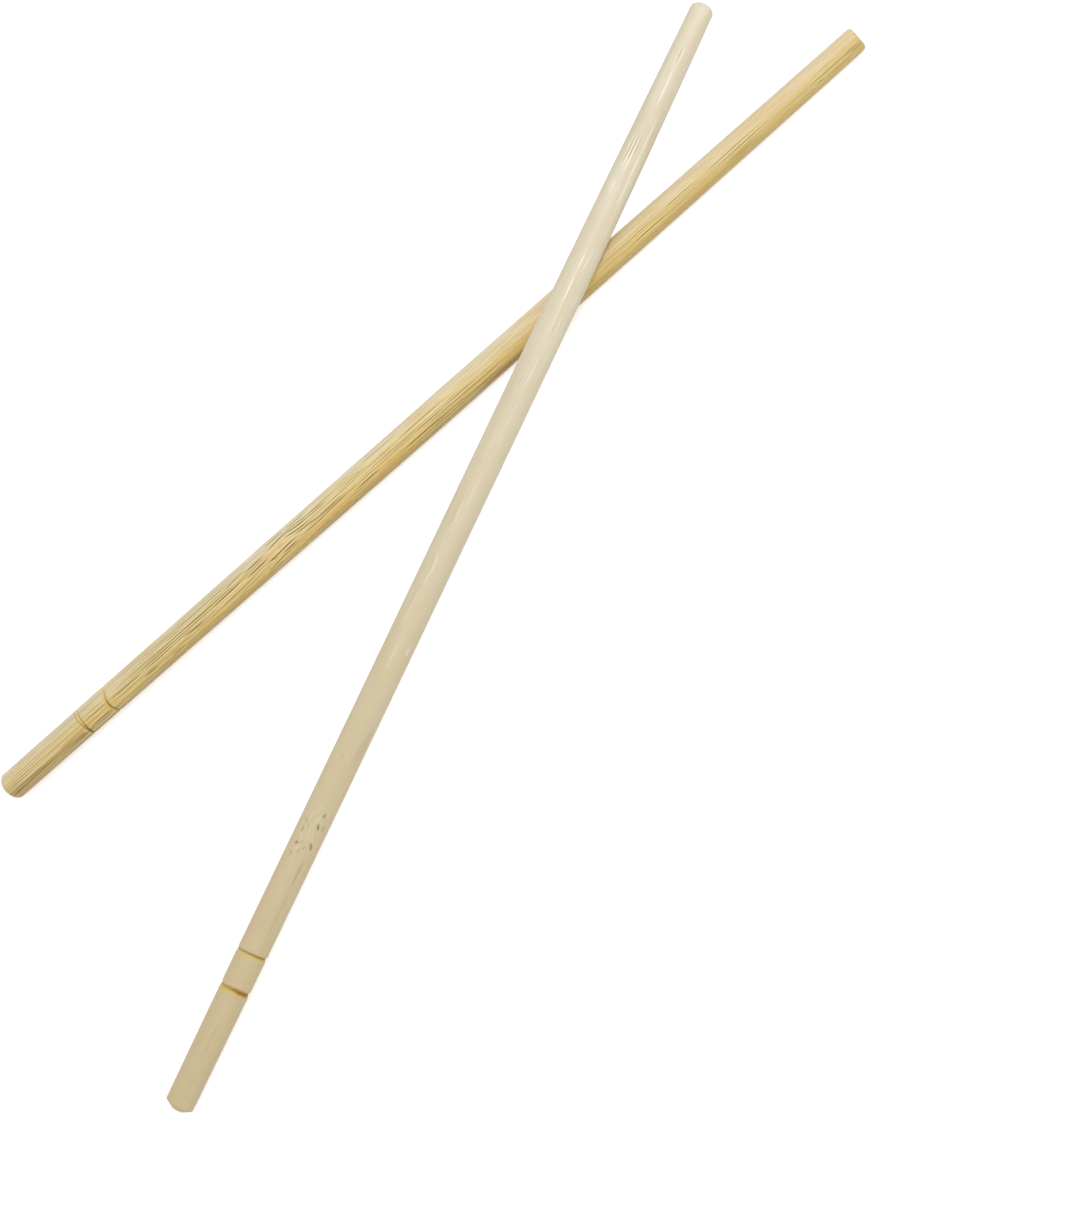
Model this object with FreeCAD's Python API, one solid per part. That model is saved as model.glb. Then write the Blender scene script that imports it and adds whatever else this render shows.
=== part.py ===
import FreeCAD, Part
import os
from math import atan2, degrees, sqrt

# A loose pair of round disposable bamboo chopsticks, put down crossed on a table.
# The golden one lies along X with its handle end at the low end. The pale one has its handle end on
# the table and leans over the golden one, so that its tip is a few millimetres up in the air.
# Millimetres, +Z up. The origin is the middle of the pair's box, on the table.
# Stations along a stick are measured from its handle end.

# Both sticks get their two decorative rings from one cutter
RING_SPACING = 6.7

# Golden stick
GOLDEN_LENGTH = 208.0
GOLDEN_DIAMETER = 5.55
GOLDEN_TIP_DIAMETER = 4.5
GOLDEN_TAPER_START = 115.0
GOLDEN_FIRST_RING = 21.0
GOLDEN_RING_WIDTH = 0.75
GOLDEN_RING_DEPTH = 0.18
GOLDEN_HANDLE_DOME = 1.6
GOLDEN_TIP_CORNER = 0.8
GOLDEN_BEVEL_LENGTH = 3.2
GOLDEN_BEVEL_DEPTH = 0.75

# Pale stick
PALE_LENGTH = 211.0
PALE_HANDLE_DIAMETER = 5.2
PALE_DIAMETER = 5.45
PALE_TIP_DIAMETER = 4.2
PALE_FLARE_END = 28.0
PALE_TAPER_START = 132.0
PALE_TAPER_CROWN = 0.14
PALE_FIRST_RING = 22.8
PALE_RING_WIDTH = 1.1
PALE_RING_DEPTH = 0.22
PALE_CHAMFER_LENGTH = 0.9
PALE_CHAMFER_HEIGHT = 1.4
PALE_TIP_DOME = 1.4

# How the pair lies
CROSSING_ANGLE = 27.4
GOLDEN_CROSSING = 149.9
PALE_CROSSING = 163.5
CROSSING_GAP = 0.02

X_AXIS = FreeCAD.Vector(1, 0, 0)
Y_AXIS = FreeCAD.Vector(0, 1, 0)
Z_AXIS = FreeCAD.Vector(0, 0, 1)


def at(station, radius):
    """Point of a half outline, drawn above the X axis."""
    return FreeCAD.Vector(station, radius, 0)


def line(start, end):
    return Part.LineSegment(start, end).toShape()


def rounded(start, corner, end):
    """Quarter of an ellipse from start to end, whose end tangents meet at the corner."""
    curve = Part.BezierCurve()
    curve.setPoles([start, corner, end])
    curve.setWeight(2, sqrt(0.5))
    return curve.toShape()


def crowned(start, end, crown):
    """Parabola from start to end that stands crown outside the straight line at its middle."""
    curve = Part.BezierCurve()
    curve.setPoles([start, (start + end) / 2 + FreeCAD.Vector(0, 2 * crown, 0), end])
    return curve.toShape()


def turned(outline, length):
    """Solid of revolution about X of a half outline that runs from the handle end to the tip."""
    closed = Part.Wire(outline + [line(at(length, 0), at(0, 0))])
    return Part.Face(closed).revolve(at(0, 0), X_AXIS, 360)


def ring_groove(station, surface_radius, width, depth):
    """Ring-shaped cutter, round in section, that leaves a groove of this width and depth."""
    section_radius = (width ** 2 / 4 + depth ** 2) / (2 * depth)
    ring_radius = surface_radius + section_radius - depth
    return Part.makeTorus(ring_radius, section_radius, at(station, 0), X_AXIS)


def golden_chopstick():
    """Cylinder with a domed handle end, a straight taper, and a flat tip bevelled on its -Y side."""
    radius = GOLDEN_DIAMETER / 2
    tip_radius = GOLDEN_TIP_DIAMETER / 2
    taper_end = GOLDEN_LENGTH - GOLDEN_TIP_CORNER
    stick = turned([
        rounded(at(0, 0), at(0, radius), at(GOLDEN_HANDLE_DOME, radius)),
        line(at(GOLDEN_HANDLE_DOME, radius), at(GOLDEN_TAPER_START, radius)),
        line(at(GOLDEN_TAPER_START, radius), at(taper_end, tip_radius)),
        rounded(at(taper_end, tip_radius), at(GOLDEN_LENGTH, tip_radius),
                at(GOLDEN_LENGTH, tip_radius - GOLDEN_TIP_CORNER)),
        line(at(GOLDEN_LENGTH, tip_radius - GOLDEN_TIP_CORNER), at(GOLDEN_LENGTH, 0)),
    ], GOLDEN_LENGTH)
    for station in (GOLDEN_FIRST_RING, GOLDEN_FIRST_RING + RING_SPACING):
        stick = stick.cut(ring_groove(station, radius, GOLDEN_RING_WIDTH, GOLDEN_RING_DEPTH))

    bevel = Part.makeBox(2 * GOLDEN_BEVEL_LENGTH, GOLDEN_DIAMETER, 2 * GOLDEN_DIAMETER,
                         FreeCAD.Vector(0, -GOLDEN_DIAMETER, -GOLDEN_DIAMETER))
    bevel.rotate(at(0, 0), Z_AXIS, degrees(atan2(GOLDEN_BEVEL_DEPTH, GOLDEN_BEVEL_LENGTH)))
    bevel.translate(at(GOLDEN_LENGTH - GOLDEN_BEVEL_LENGTH, -tip_radius))
    return stick.cut(bevel).Solids[0]


def pale_chopstick():
    """Slightly flared handle with a chamfered end, a cylinder, and a crowned taper with a domed tip."""
    handle_radius = PALE_HANDLE_DIAMETER / 2
    radius = PALE_DIAMETER / 2
    tip_radius = PALE_TIP_DIAMETER / 2
    end_radius = handle_radius - PALE_CHAMFER_HEIGHT
    taper_end = PALE_LENGTH - PALE_TIP_DOME
    stick = turned([
        line(at(0, 0), at(0, end_radius)),
        line(at(0, end_radius), at(PALE_CHAMFER_LENGTH, handle_radius)),
        line(at(PALE_CHAMFER_LENGTH, handle_radius), at(PALE_FLARE_END, radius)),
        line(at(PALE_FLARE_END, radius), at(PALE_TAPER_START, radius)),
        crowned(at(PALE_TAPER_START, radius), at(taper_end, tip_radius), PALE_TAPER_CROWN),
        rounded(at(taper_end, tip_radius), at(PALE_LENGTH, tip_radius), at(PALE_LENGTH, 0)),
    ], PALE_LENGTH)
    flare = (radius - handle_radius) / (PALE_FLARE_END - PALE_CHAMFER_LENGTH)
    for station in (PALE_FIRST_RING, PALE_FIRST_RING + RING_SPACING):
        surface_radius = min(radius, handle_radius + flare * (station - PALE_CHAMFER_LENGTH))
        stick = stick.cut(ring_groove(station, surface_radius, PALE_RING_WIDTH, PALE_RING_DEPTH))
    return stick.Solids[0]


def laid(stick, lean, turn, crossing):
    """Stick leaned tip down by lean and turned about Z, on the table, crossing above the origin."""
    placement = FreeCAD.Placement(FreeCAD.Vector(), FreeCAD.Rotation(Z_AXIS, turn)
                                  * FreeCAD.Rotation(Y_AXIS, lean))
    crossing_point = placement.multVec(at(crossing, 0))
    placement.move(FreeCAD.Vector(-crossing_point.x, -crossing_point.y, 0))
    placed = stick.transformed(placement.toMatrix(), copy=True)
    placed.translate(FreeCAD.Vector(0, 0, -placed.optimalBoundingBox(False).ZMin))
    return placed


def golden_lean():
    """The golden stick is pressed down past the start of its taper, so its taper lies flat."""
    rise = (GOLDEN_DIAMETER - GOLDEN_TIP_DIAMETER) / 2
    return degrees(atan2(rise, GOLDEN_LENGTH - GOLDEN_TIP_CORNER - GOLDEN_TAPER_START))


def lean_over(stick, support):
    """Stick turned by the crossing angle, its lean let down in steps until it rests on the support."""
    lean = -degrees(atan2(GOLDEN_DIAMETER + PALE_DIAMETER / 2, PALE_CROSSING))
    placed = laid(stick, lean, CROSSING_ANGLE, PALE_CROSSING)
    for _ in range(4):
        drop = placed.distToShape(support)[0] - CROSSING_GAP
        lean += degrees(atan2(drop, PALE_CROSSING))
        placed = laid(stick, lean, CROSSING_ANGLE, PALE_CROSSING)
    return placed


golden = laid(golden_chopstick(), golden_lean(), 0, GOLDEN_CROSSING)
pale = lean_over(pale_chopstick(), golden)

box = golden.optimalBoundingBox(False)
box.add(pale.optimalBoundingBox(False))
to_origin = FreeCAD.Vector(-box.Center.x, -box.Center.y, 0)

os.makedirs("parts", exist_ok=True)
for node, stick in (("golden_chopstick", golden), ("pale_chopstick", pale)):
    stick.translate(to_origin)
    stick.exportStep("parts/" + node + ".step")
    print(node, "valid", stick.isValid(), "solids", len(stick.Solids),
          "volume %.1f mm3" % stick.Volume)
print("gap at the crossing %.4f mm" % golden.distToShape(pale)[0])
print("box", [round(v, 3) for v in (box.XLength, box.YLength, box.ZLength)])
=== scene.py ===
import bpy
import math
import numpy as np
from mathutils import Matrix, Vector


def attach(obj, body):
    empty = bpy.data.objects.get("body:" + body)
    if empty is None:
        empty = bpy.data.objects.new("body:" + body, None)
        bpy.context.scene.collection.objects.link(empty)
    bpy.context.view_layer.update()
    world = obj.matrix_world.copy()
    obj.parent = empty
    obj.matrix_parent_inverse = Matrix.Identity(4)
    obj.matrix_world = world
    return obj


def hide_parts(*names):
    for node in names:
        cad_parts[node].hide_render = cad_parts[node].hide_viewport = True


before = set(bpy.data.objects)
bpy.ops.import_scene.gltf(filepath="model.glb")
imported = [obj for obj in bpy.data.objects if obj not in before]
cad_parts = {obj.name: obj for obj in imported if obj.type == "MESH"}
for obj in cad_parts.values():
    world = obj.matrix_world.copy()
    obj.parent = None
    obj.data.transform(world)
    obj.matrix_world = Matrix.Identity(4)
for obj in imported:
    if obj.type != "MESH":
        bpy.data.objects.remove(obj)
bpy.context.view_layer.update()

# Golden chopstick
# A round stick of golden yellow bamboo, turned from the outer wall of the stem, so that its fibres run
# from end to end as fine dark lines. Its handle end is sanded to a dome, its tip is flat with one
# slanted side, and two rings are cut in the handle with a knife.

MM = 0.001
# The grid of a stick's skin, and the finer grid that noise over the skin is kept on
COLUMNS = 240
ROW_STEP = 0.85 * MM
FIELD_STEP = 0.25 * MM
FIELD_COLUMNS = 480
SAME_STATION = 0.04 * MM

GOLDEN_LENGTH = 208.0 * MM
GOLDEN_RADIUS = 2.775 * MM
GOLDEN_TIP_RADIUS = 2.25 * MM
GOLDEN_TAPER_START = 115.0 * MM
GOLDEN_DOME = 1.6 * MM
GOLDEN_TIP_CORNER = 0.8 * MM
GOLDEN_BEVEL_LENGTH = 3.2 * MM
GOLDEN_BEVEL_DEPTH = 0.75 * MM
GOLDEN_RINGS = (21.0 * MM, 27.7 * MM)
GOLDEN_RING_WIDTH = 0.8 * MM
GOLDEN_RING_DEPTH = 0.17 * MM
GOLDEN_JOINT = 68.7 * MM
GOLDEN_JOINT_START = 58.0 * MM
GOLDEN_JOINT_END = 84.0 * MM
GOLDEN_BOW = 0.22 * MM
GOLDEN_BOW_SKEW = 1.6
# Angle round the stick, from its level left side, of the line that the camera sees in its middle
GOLDEN_FRONT = math.radians(122)


def linear(hex_colour):
    """Linear red, green, blue and alpha of a colour written as six hex digits."""
    parts = np.array([int(hex_colour[i:i + 2], 16) / 255 for i in (0, 2, 4)])
    parts = np.where(parts <= 0.04045, parts / 12.92, ((parts + 0.055) / 1.055) ** 2.4)
    return (*parts.tolist(), 1.0)


def smooth_step(low, high, values):
    """0 below low, 1 above high, and a smooth S between: 3 t squared minus 2 t cubed."""
    t = np.clip((values - low) / (high - low), 0, 1)
    return t * t * (3 - 2 * t)


def directions(along):
    """Unit directions along, across and up: across is level, and up is square to the other two."""
    along = along / np.linalg.norm(along)
    across = np.cross((0, 0, 1), along)
    across /= np.linalg.norm(across)
    return along, across, np.cross(along, across)


def axes_of(node, rings):
    """Middle of a stick's handle end, and its directions along, across and up. The solid has a ring of
    vertices at each of two stations, and the axis runs through their middles. A ring's middle is that of
    the circle that fits it best: x squared plus y squared is 2 a x plus 2 b y plus c."""
    points = np.empty(len(node.data.vertices) * 3)
    node.data.vertices.foreach_get("co", points)
    points = points.reshape(-1, 3)
    heart = points.mean(axis=0)
    along = np.linalg.svd(points - heart, full_matrices=False)[2][0]
    along *= np.sign(along[0])
    for _ in range(2):
        axes = np.array(directions(along))
        places = (points - heart) @ axes.T
        places[:, 0] -= places[:, 0].min()
        middles = []
        for ring in rings:
            _, x, y = places[np.abs(places[:, 0] - ring) < SAME_STATION].T
            a, b, _ = np.linalg.lstsq(np.stack([2 * x, 2 * y, np.ones_like(x)], axis=1), x * x + y * y,
                                      rcond=None)[0]
            middles.append(np.array([ring, a, b]) @ axes)
        along = middles[1] - middles[0]
    along, across, up = directions(along)
    on_axis = heart + middles[0]
    return on_axis + along * ((points - on_axis) @ along).min(), along, across, up


def smooth_noise(seed, length, reach_along, reach_round, radius):
    """Field over the skin: random numbers blurred by a bell curve that reaches so far along and round
    the stick. It repeats round the stick, and is scaled to a spread of 1."""
    rows = int(length / FIELD_STEP) + 2
    field = np.random.default_rng(seed).standard_normal((rows, FIELD_COLUMNS))
    pitch = 2 * math.pi * radius / FIELD_COLUMNS
    along = np.exp(-2 * (math.pi * np.fft.fftfreq(rows) * reach_along / FIELD_STEP) ** 2)
    around = np.exp(-2 * (math.pi * np.fft.fftfreq(FIELD_COLUMNS) * reach_round / pitch) ** 2)
    field = np.fft.ifft2(np.fft.fft2(field) * along[:, None] * around[None, :]).real
    return field / field.std()


def read(field, stations, angles):
    """Field read at any station and angle, mixed from its four nearest values."""
    row = np.clip(stations / FIELD_STEP, 0, field.shape[0] - 1.001)
    column = (angles / (2 * math.pi) * FIELD_COLUMNS) % FIELD_COLUMNS
    r, c = row.astype(int), column.astype(int) % FIELD_COLUMNS
    fr, fc = row % 1, column % 1
    next_c = (c + 1) % FIELD_COLUMNS
    low = field[r, c] * (1 - fc) + field[r, next_c] * fc
    high = field[r + 1, c] * (1 - fc) + field[r + 1, next_c] * fc
    return low * (1 - fr) + high * fr


def noise_over(stations, angles, length, radius, seed, reach_along, reach_round):
    """Smooth noise of a whole stick, read at stations and angles."""
    return read(smooth_noise(seed, length, reach_along, reach_round, radius), stations, angles)


def body_rows(start, end, close_stretches):
    """Stations from start to end, a row step apart, and closer in each stretch of (from, to, step)."""
    stations = np.linspace(start, end, int((end - start) / ROW_STEP))
    for low, high, step in close_stretches:
        stations = stations[(stations < low - step / 2) | (stations > high + step / 2)]
        stations = np.concatenate([stations, np.arange(low, high, step)])
    return np.sort(stations)


def turn_gap(angles, centre):
    """Signed angle from centre, between minus and plus half a turn."""
    return (angles - centre + math.pi) % (2 * math.pi) - math.pi


def ring_cut(stations, angles, station, width, depth, heart, narrowest, shift, edges):
    """Dent of a ring cut, its band and its dark edges, each from 0 to 1. The section is a wedge, steeper
    on the tip side, and the cut is deepest at the heart angle. Each edge is a line that has a place across
    the cut, from -1 to 1, a half width and a strength, and it runs from its first three to its second
    three as the angle nears the heart. The dark edges are partly painted shade of the groove's walls,
    which grows as the angle nears the heart. A faint halo of the band reaches past the cut."""
    swell = narrowest + (1 - narrowest) * (0.5 + 0.5 * np.cos(turn_gap(angles, heart)))
    passed = smooth_step(-1.6, 0.1, turn_gap(angles, heart))
    across = (stations - station - shift) / (0.5 * width)
    wedge = np.where(across < 0.4, (1 + across) / 1.4, (1 - across) / 0.6)
    lip = np.exp(-((np.abs(across) - 1.3) / 0.25) ** 2)
    dark = np.zeros_like(stations)
    for first, second in edges:
        place, half_width, strength = (a + (b - a) * passed for a, b in zip(first, second))
        dark = np.maximum(dark, strength * np.exp(-((across - place) / half_width) ** 2))
    halo = 0.5 * np.exp(-((across + 0.2) / 1.1) ** 4)
    dent = depth * swell * (np.clip(wedge, 0, 1) + 0.35 * dark - 0.12 * lip)
    return np.stack([dent, np.maximum(smooth_step(0, 0.3, wedge), halo) * swell, np.clip(dark, 0, 1)])


def spots(marks, stations, angles, front, radius):
    """Share of small marks over the skin, from 0 to 1. Each is a soft streak: station, distance round the
    stick from the front line, length and width, all in mm, then its slant in degrees and its strength."""
    field = np.zeros_like(stations)
    for station_mm, round_mm, long_mm, wide_mm, slant_deg, strength in marks:
        off = stations / MM - station_mm
        off_round = turn_gap(angles, front + round_mm * MM / radius) * radius / MM
        slant = math.radians(slant_deg)
        lengthwise = (off * math.cos(slant) + off_round * math.sin(slant)) / (0.5 * long_mm)
        sidewise = (off_round * math.cos(slant) - off * math.sin(slant)) / (0.5 * wide_mm)
        field = np.maximum(field, strength * np.exp(-lengthwise ** 4 - sidewise ** 2))
    return field


def stick_skin(name, axes, stations, radii, dents, bow, skew, attributes):
    """Closed skin of a stick from a grid of rows along it and columns round it. A point is the handle end,
    plus its station along the stick, plus its radius less its dent in the direction of its angle. Each
    end is closed by a fan to a point on the axis. The bow is how far the dried stick has bent to its
    right: the sine of half a turn times the share of its length, raised to the skew. A skew above 1 puts
    the deepest place nearer the tip."""
    handle_end, along, across, up = axes
    rows, columns = dents.shape
    angles = np.arange(columns) * 2 * math.pi / columns
    spokes = np.cos(angles)[:, None] * across + np.sin(angles)[:, None] * up
    points = handle_end + stations[:, :, None] * along + (radii - dents)[:, :, None] * spokes[None, :, :]
    share = np.clip(stations / stations.max(), 0, 1)
    points -= (bow * np.sin(math.pi * share ** skew))[:, :, None] * across
    ends = handle_end + np.array([stations[0].mean(), stations[-1].mean()])[:, None] * along
    points = np.concatenate([points.reshape(-1, 3), ends])
    grid = np.arange(rows * columns).reshape(rows, columns)
    right = np.roll(grid, -1, axis=1)
    quads = np.stack([grid[:-1], right[:-1], right[1:], grid[1:]], axis=-1).reshape(-1, 4)
    start_fan = np.stack([right[0], grid[0], np.full(columns, rows * columns)], axis=-1)
    end_fan = np.stack([grid[-1], right[-1], np.full(columns, rows * columns + 1)], axis=-1)
    corners = np.concatenate([quads.ravel(), start_fan.ravel(), end_fan.ravel()])
    sizes = np.concatenate([np.full(len(quads), 4), np.full(2 * columns, 3)])
    mesh = bpy.data.meshes.new(name)
    mesh.vertices.add(len(points))
    mesh.vertices.foreach_set("co", points.ravel())
    mesh.loops.add(len(corners))
    mesh.loops.foreach_set("vertex_index", corners)
    mesh.polygons.add(len(sizes))
    mesh.polygons.foreach_set("loop_start", np.concatenate([[0], np.cumsum(sizes)[:-1]]))
    mesh.polygons.foreach_set("use_smooth", np.ones(len(sizes), bool))
    mesh.update(calc_edges=True)
    for title, values in attributes.items():
        values = values.reshape(rows * columns, 3)
        values = np.concatenate([values, values[:columns].mean(0)[None], values[-columns:].mean(0)[None]])
        layer = mesh.attributes.new(title, "FLOAT_VECTOR", "POINT")
        layer.data.foreach_set("vector", values.astype(np.float32).ravel())
    piece = bpy.data.objects.new(name, mesh)
    bpy.context.scene.collection.objects.link(piece)
    return piece


def grain_of(stations, radii, angles, sway):
    """Place of each point in the wood: station, and the two distances from the axis, with the fibres'
    sway round the stick taken off the angle."""
    return np.stack([stations, radii * np.cos(angles - sway), radii * np.sin(angles - sway)], axis=-1)


def fibre_lines(stations, angles, length, radius, sway, seed, count, reach, half_width, boost):
    """Dark fibre lines along the stick and the pale strips beside them, each from 0 to 1. Each of a count
    of equal sectors round the stick has one line, off its middle by a random share. The line wanders a
    little, and comes and goes along the stick over the reach, more often there where the boost is high.
    The sway bends them all."""
    sector_size = 2 * math.pi / count
    wander = noise_over(stations, angles, length, radius, seed, 9 * MM, 0.7 * MM)
    place = (angles - sway + 0.05 * MM / radius * wander) / sector_size % count
    sector = np.floor(place).astype(int) % count
    offset = np.random.default_rng(seed).uniform(-0.3, 0.3, count)[sector]
    distance = (place % 1 - 0.5 - offset) * sector_size * radius
    presence = noise_over(stations, sector * sector_size, length, radius, seed + 1, reach, 0.12 * MM)
    strength = smooth_step(-1.0, 1.1, presence + boost)
    dark = np.exp(-(distance / half_width) ** 2) * strength
    pale = np.exp(-((np.abs(distance) - 1.9 * half_width) / half_width) ** 2) * strength
    return dark, pale


golden_axes = axes_of(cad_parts["golden_chopstick"], (GOLDEN_DOME, GOLDEN_TAPER_START))
golden_taper_end = GOLDEN_LENGTH - GOLDEN_TIP_CORNER
dome_turn = np.linspace(0, math.pi / 2, 14)[1:-1]
corner_turn = np.linspace(0, math.pi / 2, 8)[1:]
golden_body = body_rows(GOLDEN_DOME, golden_taper_end, [
    (GOLDEN_RINGS[0] - 1.0 * MM, GOLDEN_RINGS[0] + 1.0 * MM, 0.06 * MM),
    (GOLDEN_RINGS[1] - 0.9 * MM, GOLDEN_RINGS[1] + 0.9 * MM, 0.06 * MM),
    (GOLDEN_JOINT - 12 * MM, GOLDEN_JOINT + 16 * MM, 0.24 * MM),
])
golden_body_radii = np.interp(golden_body, (GOLDEN_TAPER_START, golden_taper_end),
                              (GOLDEN_RADIUS, GOLDEN_TIP_RADIUS))
tip_face_radii = np.array([0.7, 0.35, 0.05]) * (GOLDEN_TIP_RADIUS - GOLDEN_TIP_CORNER)
golden_rows = np.concatenate([
    GOLDEN_DOME * (1 - np.cos(dome_turn)),
    golden_body,
    golden_taper_end + GOLDEN_TIP_CORNER * np.sin(corner_turn),
    np.full_like(tip_face_radii, GOLDEN_LENGTH),
])
golden_radii = np.concatenate([
    GOLDEN_RADIUS * np.sin(dome_turn),
    golden_body_radii,
    GOLDEN_TIP_RADIUS - GOLDEN_TIP_CORNER * (1 - np.cos(corner_turn)),
    tip_face_radii,
])
angles = np.arange(COLUMNS)[None, :] * 2 * math.pi / COLUMNS
stations = np.repeat(golden_rows[:, None], COLUMNS, axis=1)
radii = np.repeat(golden_radii[:, None], COLUMNS, axis=1)
from_front = turn_gap(angles, GOLDEN_FRONT)
golden_skin = (stations, angles, GOLDEN_LENGTH, GOLDEN_RADIUS)

# At the joint of the stem the fibres drift sideways and jump back, each at its own station, and past it
# they swing to one side
JOINT_TOOTH = 4.6 * MM
JOINT_JUMP = 0.34 * MM
JOINT_SWING = 0.35 * MM
scatter = noise_over(*golden_skin, seed=11, reach_along=30 * MM, reach_round=0.55 * MM)
tooth = (stations - GOLDEN_JOINT) / JOINT_TOOTH + 0.42 * scatter
tooth_place = tooth - np.floor(tooth)
jump = smooth_step(0.93, 1.0, tooth_place)
near_joint = np.exp(-((stations - GOLDEN_JOINT - 1.5 * MM) / (9 * MM)) ** 4)
drift = (0.5 - tooth_place) * (1 - jump) + 0.5 * jump ** 2
golden_sway = JOINT_JUMP / GOLDEN_RADIUS * drift * near_joint
golden_sway += JOINT_SWING / GOLDEN_RADIUS * np.exp(-((stations - GOLDEN_JOINT - 7 * MM) / (7 * MM)) ** 2)

# The strongest fibres on the side that shows, listed from the handle to the tip
FIBRES = (
    (8.5, 2.50, 10.0, 0.29, 0.0, 0.59),
    (11.5, -0.88, 18.0, 0.20, 0.3, 0.59),
    (12.2, 1.15, 4.5, 0.19, 0.0, 0.66),
    (16.0, 0.25, 10.0, 0.20, 0.0, 0.59),
    (25.0, -0.55, 5.0, 0.20, 0.0, 0.53),
    (25.0, 1.78, 5.6, 0.24, 0.0, 1.00),
    (25.1, 0.25, 5.6, 0.21, 0.0, 0.79),
    (25.2, 2.38, 5.2, 0.24, 0.0, 1.00),
    (33.0, 1.10, 7.0, 0.20, 0.0, 0.59),
    (33.2, 0.35, 8.4, 0.24, 0.5, 0.92),
    (34.0, 2.00, 10.0, 0.20, 0.0, 0.72),
    (34.5, 2.45, 10.0, 0.20, 0.0, 0.79),
    (36.0, -0.65, 12.0, 0.20, 0.0, 0.53),
    (38.8, 1.22, 3.6, 0.19, -1.0, 1.00),
    (39.0, 1.52, 3.4, 0.19, 0.0, 1.00),
    (44.0, -1.80, 5.0, 0.25, 0.0, 0.66),
    (44.0, 1.60, 4.5, 0.20, 0.0, 0.59),
    (45.6, 1.95, 3.0, 0.24, 0.0, 1.00),
    (47.0, -0.95, 5.0, 0.21, 0.0, 0.66),
    (47.5, 0.38, 6.0, 0.20, 0.0, 0.59),
    (50.6, 0.75, 4.2, 0.24, 0.0, 1.00),
    (53.5, 0.85, 6.0, 0.20, -2.0, 0.66),
    (57.0, -0.92, 4.5, 0.21, 0.0, 0.59),
    (59.6, -0.02, 9.0, 0.24, -1.7, 1.00),
    (60.5, 2.00, 7.0, 0.20, 0.0, 0.59),
    (61.5, 1.02, 9.0, 0.21, -2.0, 0.79),
    (62.0, -1.05, 5.5, 0.21, -2.5, 0.86),
    (65.0, 1.55, 6.0, 0.19, -1.5, 0.58),
    (67.0, -0.45, 5.0, 0.20, -2.0, 0.72),
    (67.2, -0.92, 4.8, 0.24, -1.5, 1.00),
    (67.4, 0.10, 5.0, 0.29, -1.0, 1.00),
    (67.5, 0.65, 3.6, 0.20, -2.0, 0.66),
    (70.0, 2.70, 8.0, 0.29, 0.0, 0.59),
    (70.6, 0.76, 1.8, 0.21, 12.0, 0.92),
    (71.5, 1.85, 7.0, 0.32, -6.0, 0.72),
    (73.0, -2.20, 4.4, 0.25, -3.0, 0.92),
    (73.2, 0.55, 7.0, 0.26, -2.0, 1.00),
    (73.5, -1.32, 5.2, 0.24, -3.0, 1.00),
    (74.6, 1.12, 3.4, 0.24, -1.0, 1.00),
    (76.0, 1.45, 5.0, 0.20, -3.0, 0.64),
    (77.8, -1.65, 4.5, 0.20, 3.0, 0.66),
    (77.8, -0.50, 5.5, 0.21, 4.0, 1.00),
    (78.0, -1.14, 5.0, 0.24, 4.5, 1.00),
    (78.5, -2.20, 5.0, 0.21, 2.0, 0.72),
    (79.5, 0.10, 5.0, 0.21, 4.0, 0.92),
    (80.8, 0.95, 5.5, 0.21, 1.0, 0.79),
    (81.5, -1.30, 6.0, 0.20, 3.0, 0.81),
    (82.5, -0.85, 5.5, 0.20, 1.0, 0.72),
    (84.5, -1.40, 6.0, 0.20, 0.0, 0.59),
    (84.5, 0.35, 8.0, 0.20, -1.5, 0.93),
    (85.0, 0.82, 7.5, 0.20, -1.5, 0.70),
    (88.0, 0.60, 9.0, 0.19, 0.0, 0.64),
    (88.5, -0.30, 9.0, 0.19, 0.0, 0.58),
    (90.5, -1.25, 8.0, 0.20, 0.0, 0.53),
    (91.0, 1.65, 5.0, 0.20, 0.0, 0.53),
    (91.5, -0.80, 6.5, 0.20, 0.0, 0.66),
    (94.0, 1.20, 5.0, 0.24, 0.0, 0.92),
    (99.0, -1.80, 8.0, 0.25, 0.0, 0.66),
    (107.0, 1.50, 9.0, 0.24, 0.0, 0.99),
    (108.5, -0.62, 11.0, 0.21, 0.0, 0.79),
    (108.5, 2.05, 7.0, 0.20, 0.0, 0.59),
    (109.5, 0.48, 7.0, 0.21, 0.0, 0.77),
    (113.5, 1.70, 8.0, 0.21, 0.0, 0.79),
    (115.5, 1.00, 13.0, 0.21, 0.5, 0.67),
    (116.8, 0.45, 7.5, 0.20, 0.0, 0.72),
    (121.0, 1.95, 10.0, 0.26, 0.0, 0.79),
    (122.5, 1.08, 9.0, 0.21, 0.0, 0.65),
    (152.0, 0.95, 4.0, 0.20, 0.0, 0.66),
    (156.5, 0.12, 14.0, 0.20, 0.0, 0.66),
    (160.5, 1.12, 8.0, 0.24, 0.0, 0.79),
    (167.0, 1.30, 6.0, 0.20, 0.0, 0.53),
    (168.5, 0.00, 7.0, 0.21, 0.0, 0.72),
    (180.5, 0.05, 12.0, 0.21, 0.0, 0.72),
    (181.5, 0.75, 10.0, 0.21, 0.0, 0.72),
    (184.0, 1.30, 6.0, 0.20, 0.0, 0.59),
    (193.0, 1.00, 6.0, 0.20, 0.0, 0.53),
    (198.6, 1.90, 1.6, 0.29, 20.0, 0.92),
    (200.5, 0.10, 5.0, 0.20, 0.0, 0.53),
    (201.0, 1.10, 9.0, 0.24, 0.0, 0.72),
    (206.2, 0.95, 3.0, 0.21, 0.0, 0.66),
    (206.6, 1.55, 1.8, 0.22, 0.0, 0.58),
    (206.8, 2.15, 1.4, 0.22, 0.0, 0.58),
)
ripple = noise_over(*golden_skin, seed=16, reach_along=1.5 * MM, reach_round=0.8 * MM)
rippled = angles + (0.02 + 0.06 * near_joint) * MM / GOLDEN_RADIUS * ripple
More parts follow.
